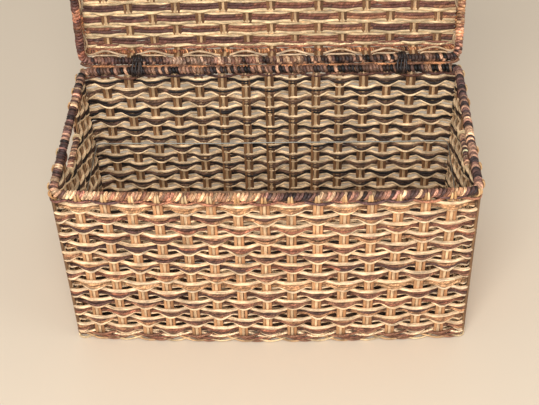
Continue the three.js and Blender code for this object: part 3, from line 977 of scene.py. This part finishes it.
def make_lid_ties(weave, rim):
    """Two strands twined along the back of the lid's rim, a little below it when the lid is shut."""
    ring = rim_ring(weave, rim)
    s = stations(ring, weave.station)
    plan, outward = ring.place(s)
    rng = np.random.default_rng(73)
    passed, _ = counted(ring, s)
    strands = []
    for lag, colour in ((0, tone(184, 126, 84)), (1, tone(120, 82, 60))):
        wave = np.cos(math.pi * (passed + lag))
        height = LID_RIM_Z - (5.6 + 1.9 * wave + 0.9 * wander(rng, s, 30 * MM)) * MM
        centre = np.c_[plan + outward * (9.6 * MM + 0.8 * MM * wander(rng, s, 24 * MM))[:, None], height]
        light = 1 + 0.2 * wander(rng, s, 40 * MM)[:, None]
        thick = 2.5 * MM * (1 + 0.2 * wander(rng, s, 12 * MM))
        strand = Strand(centre, thick, colour * light, None, level_facing(outward), twist=120)
        strands += [opened_strand(piece) for piece in part_of(strand, side_span(ring, "back", s))]
    bundle("lid_rim_strand", strands, 8, finish_of("weave"), "lid", (), 16)


HOLD_CORE = 4.2 * MM  # from the middle of a hand-hold to the middle of what is wound on it
HOLD_RING = 7.4 * MM  # radius of the pale rings at each end of it


def make_hand_holds():
    rng = np.random.default_rng(81)
    for side, x in (("left", -HALF_X), ("right", HALF_X)):
        y = np.linspace(-HAND_HALF, HAND_HALF, 40)
        droop = 2.5 * MM * (1 - (y / HAND_HALF) ** 2)
        route = np.c_[np.full(40, x), y, BAR_Z + droop]
        outward = np.tile([math.copysign(1, x), 0, 0], (40, 1))
        pick = stops_colour(((-400, MIXED_COIL),), rng)
        wrap = wound(route, outward, HOLD_CORE, 2.2 * MM, 4.4 * MM,
                     lambda middle, turn, pick=pick: pick(middle[:, 1], turn), rng)
        strands = [wrap.blunt()]
        for end in (-1, 1):
            for place in (end * (HAND_HALF - 1 * MM), end * (HAND_HALF - 5.4 * MM)):
                angle = np.radians(np.linspace(0, 350, 22))
                centre = np.c_[x + HOLD_RING * np.cos(angle), place + 1.2 * MM * np.sin(angle),
                               BAR_Z + HOLD_RING * np.sin(angle)]
                direction = np.c_[np.cos(angle), 0 * angle, np.sin(angle)]
                # The rings' inner colour, towards the bar, is a darker copy of the pale one: painted shade.
                strands.append(Strand(centre, 2.2 * MM, tone(226, 196, 150), tone(150, 120, 86), direction))
        bundle(side + "_hand_hold_wrapping", strands, 8, finish_of("rope"), "body",
               [side + "_hand_hold_bar"], 9)


def make_wire():
    low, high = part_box("inner_frame_wire")
    ring = Ring(float(high[0]) - 1.5 * MM, float(high[1]) - 1.5 * MM, 8 * MM, 0, 0)
    s = stations(ring, 12 * MM)
    plan, outward = ring.place(s)
    rng = np.random.default_rng(91)
    centre = np.c_[plan, WIRE_Z + 1.5 * MM * wander(rng, s, 160 * MM)]
    wire = Strand(centre, 1.3 * MM, tone(180, 178, 168), None, level_facing(outward))
    bundle("inner_wire", [wire], 8, finish_of("wire"), "body", ["inner_frame_wire"], 10)


def make_cores():
    for name, node in frame["nodes"].items():
        if name.endswith(("_corner_post", "_rim_core")):
            node.data.materials.clear()
            node.data.materials.append(finish_of("core"))


# The lid, laid out as shut and then turned open

LID_ROW_PITCH = 23.9 * MM
LID_SKIP = 8.5 * MM  # left for the strands at the hinge edge
LID_RATTAN = tone(226, 196, 152)
LID_LEAF = [tone(*c) for c in ((136, 90, 68), (112, 72, 60), (158, 110, 80), (92, 62, 54), (128, 82, 62))]
# The strands at its hinge edge: how far in and radius in millimetres, and colour
LID_EDGE = ((12.6, 2.4, (226, 196, 152)), (8.2, 2.7, (150, 98, 74)), (17.0, 2.2, (126, 82, 66)))


def make_lid_panel(weave):
    rng = np.random.default_rng(101)
    level = LID_RIM_Z + LID_RISE
    strands = flat_weave(weave, HALF_X - 3 * MM, HALF_Y - 2 * MM, level, rng, LID_ROW_PITCH, -1, 0.5,
                         weave.station, (LID_RATTAN, LID_LEAF), lambda x: bow_at(weave, x, True),
                         LID_SKIP, LID_SHIFT)
    for strand in strands:
        strand.radius *= 1.16  # the lid's rows are fuller than the walls'
    x_all = np.linspace(-HALF_X + 6 * MM, HALF_X - 6 * MM, int(2 * HALF_X / weave.station))
    passed = (x_all - LID_SHIFT) / STAKE_PITCH + (CROSS_STAKES - 1) / 2
    wave = np.cos(math.pi * (passed + 1))
    for inset, radius, levels in LID_EDGE:
        edge = HALF_Y - (inset + 1.2 * wander(rng, x_all, 30 * MM)) * MM + bow_at(weave, x_all, False)
        light = 1 + 0.25 * wander(rng, x_all, 25 * MM)[:, None]
        thick = radius * MM * (1 + 0.14 * wander(rng, x_all, 9 * MM))
        centre = np.c_[x_all, edge, level + 2.6 * MM * wave]
        strands.append(Strand(centre, thick, tone(*levels) * light, None, UP, twist=140).blunt())
    bundle("lid_panel_weave", [opened_strand(strand) for strand in strands], 8, finish_of("weave"), "lid",
           ["lid_panel"], 11)


def make_lid_stakes(weave):
    rng = np.random.default_rng(111)
    level = LID_RIM_Z + LID_RISE
    canes = []
    for i in range(CROSS_STAKES):
        x = (i - (CROSS_STAKES - 1) / 2) * STAKE_PITCH
        near, far = -HALF_Y - float(bow_at(weave, x, True)), HALF_Y

        def lay(across, up, aside, turning=False, x=x):
            if turning:
                return np.c_[aside, across, -up]
            return np.c_[x + aside, across, level - up]

        canes += three_canes(u_route(near, far, 0, LID_RISE - 5 * MM), lay, rng)
    canes = [opened_strand(cane.part(shift=(LID_SHIFT, 0, 0))) for cane in canes]
    bundle("lid_stake_canes", canes, 8, finish_of("cane"), "lid", ["lid_stakes"], 12)


def make_lid_walls(weave):
    """One row, with its leaf standing out and its rattan drawn in and thinner."""
    ring = weave_ring(weave)
    s = stations(ring, weave.station)
    rng = np.random.default_rng(121)
    strands = row_of_four(weave, ring, s, 1, LID_RIM_Z + 20 * MM, rng, spread=0.7)
    facing = strands[0].outward
    for k, strand in enumerate(strands):
        # The inner side is darker: painted shade.
        strand.inner = strand.outer * 0.8
        if k in (1, 2):
            strand.centre = strand.centre + facing * 2.6 * MM
        else:
            strand.centre = strand.centre - facing * (4.2 if k == 0 else 1.5) * MM
            strand.radius = strand.radius * (0.66 if k == 0 else 0.8)
    for side in SIDES:
        span = side_span(ring, side, s)
        cut = [opened_strand(piece) for strand in strands for piece in part_of(strand, span)]
        bundle("lid_" + side + "_weave", cut, 8, finish_of("weave"), "lid",
               [f"lid_{side}_wall"], 13)


def make_lid_rod(weave, rim):
    ring = Ring(HALF_X, HALF_Y, rim.corner, weave.bow_front, 0)
    s = stations(ring, 6 * MM)
    plan, outward = ring.place(s)
    rng = np.random.default_rng(131)
    route = np.c_[plan, np.full(len(s), LID_RIM_Z + LID_RISE)]
    pick = stops_colour(((-400, ROD_COIL),), rng)
    strand = wound(route, level_facing(outward), 4.3 * MM, 1.8 * MM, 3.9 * MM,
                   lambda middle, turn: pick(middle[:, 0], turn), rng, 10)
    bundle("lid_rod_wrapping", [opened_strand(strand)], 6, finish_of("rope"), "lid",
           ["lid_frame_rod"], 14)


def make_lashings():
    """Dark leaf wound round each rear rope where the lid is hinged."""
    rng = np.random.default_rng(141)
    for body, level in (("body", RIM_Z), ("lid", LID_RIM_Z)):
        for side, x in (("left", -LASH_X), ("right", LASH_X)):
            across = np.linspace(x - LASH_HALF, x + LASH_HALF, 20)
            route = np.c_[across, np.full(20, HALF_Y), np.full(20, level)]
            outward = np.tile([0.0, 1, 0], (20, 1))
            coil = wound(route, outward, ROPE_R + 0.3 * MM, 1.7 * MM, 3.1 * MM,
                         lambda middle, turn: np.tile(tone(56, 44, 40), (len(turn), 1)), rng, 16)
            coil = opened_strand(coil) if body == "lid" else coil
            bundle(f"{body}_{side}_lashing_coil", [coil.blunt()], 8, finish_of("lashing"), body,
                   [f"{body}_{side}_lashing"], 15)


HINGE_TIE_COLOURS = ((52, 42, 38), (38, 32, 31), (70, 54, 46), (44, 36, 34))
TIE_SPACING = 4.4 * MM


def make_hinge_ties():
    """Loops of dark leaf round both rear ropes at each pair of lashings, which bend as the lid turns."""
    low = np.array([0, HALF_Y, RIM_Z])
    high = opened(np.array([[0, HALF_Y, LID_RIM_Z]]))[0]
    across = (high - low) / np.linalg.norm(high - low)
    aside = np.array([0, across[2], -across[1]])
    rng = np.random.default_rng(151)
    for side, x in (("left", -LASH_X), ("right", LASH_X)):
        strands = []
        for k, levels in enumerate(HINGE_TIE_COLOURS):
            reach = ROPE_R + (2.2 + 0.4 * (k % 2)) * MM
            angle = np.radians(np.linspace(-90, 90, 11))
            far = high + reach * (np.cos(angle)[:, None] * across + np.sin(angle)[:, None] * aside)
            near = low - reach * (np.cos(angle)[:, None] * across + np.sin(angle)[:, None] * aside)
            loop = np.concatenate([far, near, far[:1]])
            steps = np.r_[0, np.cumsum(np.linalg.norm(np.diff(loop, axis=0), axis=1))]
            even = np.linspace(0, steps[-1] * 0.985, 46)
            loop = np.stack([np.interp(even, steps, loop[:, axis]) for axis in range(3)], 1)
            slant = 3 * MM * np.sin(2 * math.pi * even / steps[-1] + k)
            loop[:, 0] = x + (k - 1.5) * TIE_SPACING + slant
            direction = loop - (low + high) / 2
            direction[:, 0] = 0
            direction /= np.linalg.norm(direction, axis=1)[:, None]
            thick = 1.9 * MM * (1 + 0.15 * wander(rng, even, 8 * MM))
            # The side turned towards the ropes is darker: painted shade.
            tie = Strand(loop, thick, tone(*levels), tone(*levels) * 0.8, direction, twist=120, flat=0.8)
            strands.append(tie.blunt())
        ties = bundle(f"{side}_hinge_tie", strands, 8, finish_of("lashing"), None, (), 17)
        tuple(high + np.array([x, 0, 0]))
        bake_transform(ties)


# The camera: its place in metres, its two directions, and its lens in millimetres
CAMERA_PLACE = (0.0805, -1.6909, 1.7039)
CAMERA_RIGHT = (0.9993, 0.0218, -0.0290)
CAMERA_AHEAD = (-0.0356, 0.7443, -0.6669)
CAMERA_LENS = 75.2
FLOOR_HALF = 5  # metres


def make_stage(settings):
    shell = bmesh.new()
    bmesh.ops.create_grid(shell, x_segments=1, y_segments=1, size=FLOOR_HALF)
    mesh = bpy.data.meshes.new("studio_floor")
    shell.to_mesh(mesh)
    shell.free()
    finish = Finish("plain_floor")
    finish.shader.inputs["Base Color"].default_value = (*settings.floor, 1)
    finish.shader.inputs["Roughness"].default_value = 0.6
    mesh.materials.append(finish.material)
    floor = bpy.data.objects.new("studio_floor", mesh)
    bpy.context.collection.objects.link(floor)

    camera = bpy.data.cameras.new("camera")
    camera.sensor_width, camera.lens = 36, CAMERA_LENS
    camera.clip_start, camera.clip_end = 0.05, 30
    view = bpy.data.objects.new("camera", camera)
    bpy.context.collection.objects.link(view)
    right, ahead = Vector(CAMERA_RIGHT).normalized(), Vector(CAMERA_AHEAD).normalized()
    above = right.cross(ahead).normalized()
    right = ahead.cross(above).normalized()
    turn = Matrix((right, above, -ahead)).transposed()
    view.matrix_world = Matrix.Translation(CAMERA_PLACE) @ turn.to_4x4()
    bpy.context.scene.camera = view

    for name, power, place, aim, size in (
            ("key_light", settings.key, (-0.25, -2.4, 2.6), (0, 0, 0.2), 1.8),
            ("fill_light", settings.fill, (2.4, -1.2, 1.8), (0, 0, 0.3), 1.6),
            ("back_light", settings.fill * 0.3, (-0.6, 2.4, 2.4), (0, 0, 0.3), 1.8)):
        light = bpy.data.lights.new(name, "AREA")
        light.energy, light.size = power, size
        lamp = bpy.data.objects.new(name, light)
        lamp.location = place
        lamp.rotation_euler = (Vector(aim) - Vector(place)).to_track_quat("-Z", "Y").to_euler()
        bpy.context.collection.objects.link(lamp)

    world = bpy.data.worlds.new("studio")
    world.use_nodes = True
    world.node_tree.nodes["Background"].inputs["Color"].default_value = (1, 0.985, 0.96, 1)
    world.node_tree.nodes["Background"].inputs["Strength"].default_value = settings.sky
    bpy.context.scene.world = world
    bpy.context.scene.view_settings.view_transform = "Standard"


# The add-on: one operator for each group of pieces, and a panel that lists them

def maker(identity, label, about, work, *groups, **details):
    """An operator that runs one of the functions above on groups of the scene's settings."""

    def execute(self, context):
        work(*(getattr(context.scene, group) for group in groups), **details)
        return {"FINISHED"}

    return type("TRUNK_OT_" + identity, (bpy.types.Operator,), {
        "__doc__": about, "bl_idname": "trunk." + identity, "bl_label": label, "execute": execute})


BODY_DETAILS = {"prefix": "body", "level": RIM_Z, "looks": BODY_RIM, "seed": 31}
LID_DETAILS = {"prefix": "lid", "level": LID_RIM_Z, "looks": LID_RIM, "seed": 37}
WEAVE, RIM, STAGE = "trunk_weave", "trunk_rim", "trunk_stage"
SETTINGS = ((WEAVE, WeaveSettings), (RIM, RimSettings), (STAGE, StageSettings))

MAKERS = (
    maker("stage", "Stage", "Adds the floor, the lights and the camera", make_stage, STAGE),
    maker("walls", "Walls", "Weaves the four walls of the box", make_walls, WEAVE),
    maker("stakes", "Stakes", "Stands the flat canes that the walls are woven on", make_stakes, WEAVE),
    maker("base", "Base", "Weaves the base", make_base, WEAVE),
    maker("border", "Foot border", "Twines the border round the foot", make_border, WEAVE),
    maker("rim", "Rim", "Winds the rim of the box", make_rim, WEAVE, RIM, **BODY_DETAILS),
    maker("under_rim", "Strands under the rim", "Twines two strands below the rim", make_under_rim, WEAVE),
    maker("ties", "Ties", "Laps the stakes' ties over the rim", make_ties, WEAVE, RIM),
    maker("lid_ties", "Lid rim strands", "Twines two strands along the lid's rim", make_lid_ties, WEAVE, RIM),
    maker("hand_holds", "Hand-holds", "Winds the two hand-hold bars", make_hand_holds),
    maker("wire", "Wire", "Bends the wire inside the box", make_wire),
    maker("cores", "Cores", "Finishes the canes inside the rims and corners", make_cores),
    maker("lid_panel", "Lid panel", "Weaves the lid's panel", make_lid_panel, WEAVE),
    maker("lid_stakes", "Lid stakes", "Lays the lid's canes", make_lid_stakes, WEAVE),
    maker("lid_walls", "Lid walls", "Weaves the lid's low walls", make_lid_walls, WEAVE),
    maker("lid_rod", "Lid rod", "Winds the rod round the lid's panel", make_lid_rod, WEAVE, RIM),
    maker("lid_rim", "Lid rim", "Winds the rim of the lid", make_rim, WEAVE, RIM, **LID_DETAILS),
    maker("lashings", "Lashings", "Winds the four hinge lashings", make_lashings),
    maker("hinge_ties", "Hinge ties", "Loops the ties round both rear ropes", make_hinge_ties),
)


class TRUNK_PT_parts(bpy.types.Panel):
    """The trunk's pieces"""
    bl_label = "Trunk"
    bl_space_type = "VIEW_3D"
    bl_region_type = "UI"
    bl_category = "Trunk"

    def draw(self, context):
        for operator in MAKERS:
            self.layout.operator(operator.bl_idname)


def register():
    for name, group in SETTINGS:
        bpy.utils.register_class(group)
        setattr(bpy.types.Scene, name, bpy.props.PointerProperty(type=group))
    for cls in (*MAKERS, TRUNK_PT_parts):
        bpy.utils.register_class(cls)


def unregister():
    for cls in (TRUNK_PT_parts, *reversed(MAKERS)):
        bpy.utils.unregister_class(cls)
    for name, group in SETTINGS:
        delattr(bpy.types.Scene, name)
        bpy.utils.unregister_class(group)


def main():
    register()
    for operator in MAKERS:
        group, action = operator.bl_idname.split(".")
        getattr(getattr(bpy.ops, group), action)()
    bpy.context.view_layer.update()


if __name__ == "__main__":
    main()
